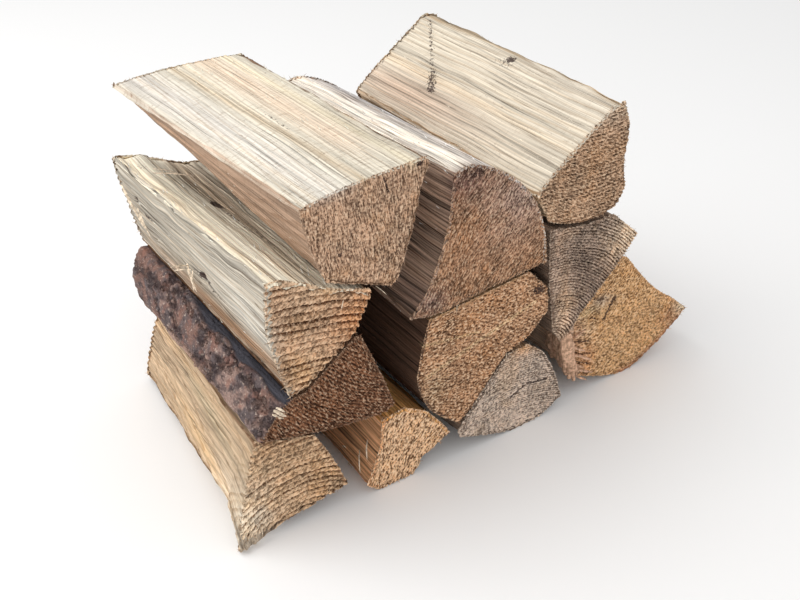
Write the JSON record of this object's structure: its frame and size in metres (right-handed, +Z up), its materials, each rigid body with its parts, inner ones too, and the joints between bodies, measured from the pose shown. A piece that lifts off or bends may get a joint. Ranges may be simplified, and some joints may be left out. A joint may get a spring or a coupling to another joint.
{
  "type": "stacked firewood bundle",
  "caption": "Loose stack of short split firewood logs with sawn ends and riven sides, lying side by side and on one another.",
  "frame": {"origin": "on the ground, under the middle of the stack", "axes": "+X from the stack's left side to its right seen from the front, +Y along the logs from their front ends to their back ends, +Z up"},
  "size_m": [0.5638, 0.305, 0.337],
  "materials": {
    "pale_wood": "dry riven cream wood with fine grain and rough sawn ends",
    "brown_wood": "dry brown wood with rough sawn ends",
    "tan_wood": "dry honey-tan wood with fuzzy sawn ends",
    "grey_wood": "weathered grey wood with rough sawn ends",
    "bark": "scaly purple-brown bark"
  },
  "bodies": {
    "root": {"log_bottom_left": "tan_wood", "log_bottom_small": "tan_wood", "log_bottom_grey": "grey_wood", "log_bottom_right": "tan_wood", "log_middle": "brown_wood", "log_bark_left": "brown_wood", "log_upper_left": "pale_wood", "log_wedge_grey": "grey_wood", "log_top_middle": "brown_wood", "log_top_right": "pale_wood", "log_top_left": "pale_wood"}
  },
  "joints": []
}
